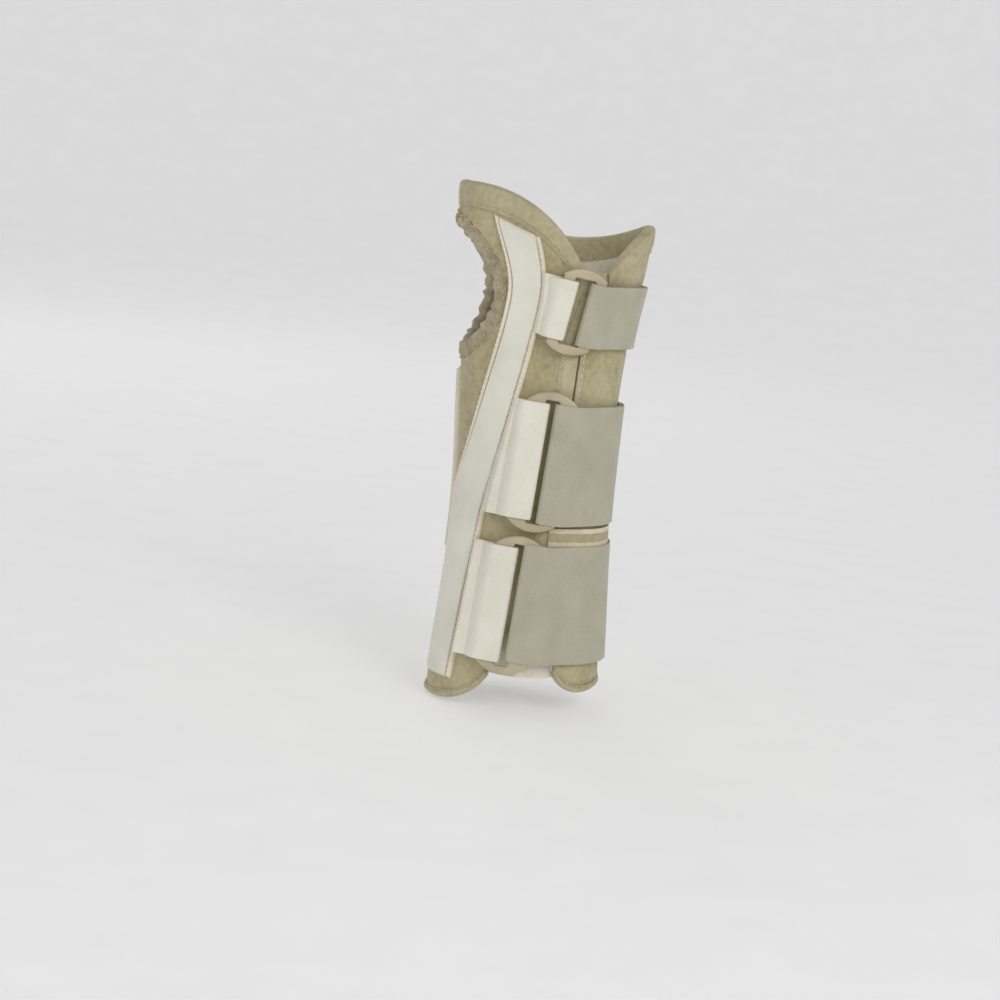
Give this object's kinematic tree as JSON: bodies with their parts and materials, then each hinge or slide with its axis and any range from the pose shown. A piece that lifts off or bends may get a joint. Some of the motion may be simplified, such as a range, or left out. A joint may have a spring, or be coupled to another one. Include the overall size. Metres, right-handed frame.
{
  "type": "wrist splint",
  "caption": "Beige fabric wrist splint: a padded forearm sleeve with metal stays in pockets and hook-and-loop straps that double back through plastic loops.",
  "frame": {"origin": "centre of the lower (elbow-side) opening, at the level of the thumb-side lower edge", "axes": "+Z along the forearm towards the fingers, -Y out of the back of the hand, -X towards the thumb"},
  "size_m": [0.083, 0.0713, 0.2186],
  "materials": {
    "cover": "brushed suede-like knit, beige, mottled",
    "binding": "folded suede-like strip, beige",
    "elastic": "gathered stretch knit, beige",
    "foam": "soft open-cell foam",
    "lining": "white brushed lining",
    "tape": "dense woven tape, off-white, stitched edges",
    "chafe_webbing": "woven webbing, off-white",
    "strap": "smooth hook-and-loop strap, taupe",
    "hook": "hook tape, taupe",
    "loop_plastic": "moulded plastic, beige",
    "stay_metal": "bare aluminium strip"
  },
  "bodies": {
    "root": {"radial_cover": "cover", "ulnar_cover": "cover", "sleeve_padding": "foam", "sleeve_lining": "lining", "tongue": "lining", "upper_binding": "binding", "lower_binding": "binding", "thumb_binding": "elastic", "radial_edge_binding": "binding", "ulnar_edge_binding": "binding", "dorsal_stay_pocket": "tape", "radial_stay_pocket": "tape", "palmar_stay_pocket": "tape", "dorsal_stay": "stay_metal", "radial_stay": "stay_metal", "palmar_stay": "stay_metal", "hand_strap_root": "strap", "wrist_strap_root": "strap", "forearm_strap_root": "strap"},
    "hand_loop_body": {"hand_loop": "loop_plastic", "hand_chafe": "chafe_webbing", "hand_strap_fold": "strap"},
    "hand_strap_body": {"hand_strap": "strap", "hand_hook_tape": "hook"},
    "wrist_loop_body": {"wrist_loop": "loop_plastic", "wrist_chafe": "chafe_webbing", "wrist_strap_fold": "strap"},
    "wrist_strap_body": {"wrist_strap": "strap", "wrist_hook_tape": "hook"},
    "forearm_loop_body": {"forearm_loop": "loop_plastic", "forearm_chafe": "chafe_webbing", "forearm_strap_fold": "strap"},
    "forearm_strap_body": {"forearm_strap": "strap", "forearm_hook_tape": "hook"}
  },
  "joints": [
    {"name": "hand_loop_lift", "type": "hinge", "parent": "root", "child": "hand_loop_body", "pos_m": [-0.00161, -0.03645, 0.17204], "axis": [-0.1561, 0.0654, -0.9856], "range_deg": [0, 25]},
    {"name": "hand_strap_peel", "type": "hinge", "parent": "hand_loop_body", "child": "hand_strap_body", "pos_m": [0.01953, -0.03091, 0.16906], "axis": [-0.1561, 0.0654, -0.9856], "range_deg": [0, 110]},
    {"name": "wrist_loop_lift", "type": "hinge", "parent": "root", "child": "wrist_loop_body", "pos_m": [-0.00972, -0.03567, 0.10835], "axis": [-0.0592, -0.0593, -0.9965], "range_deg": [0, 25]},
    {"name": "wrist_strap_peel", "type": "hinge", "parent": "wrist_loop_body", "child": "wrist_strap_body", "pos_m": [0.01416, -0.03315, 0.10678], "axis": [-0.0592, -0.0593, -0.9965], "range_deg": [0, 110]},
    {"name": "forearm_loop_lift", "type": "hinge", "parent": "root", "child": "forearm_loop_body", "pos_m": [-0.01816, -0.03531, 0.04741], "axis": [-0.0628, -0.0183, -0.9979], "range_deg": [0, 25]},
    {"name": "forearm_strap_peel", "type": "hinge", "parent": "forearm_loop_body", "child": "forearm_strap_body", "pos_m": [0.00726, -0.03748, 0.04585], "axis": [-0.0628, -0.0183, -0.9979], "range_deg": [0, 110]}
  ]
}
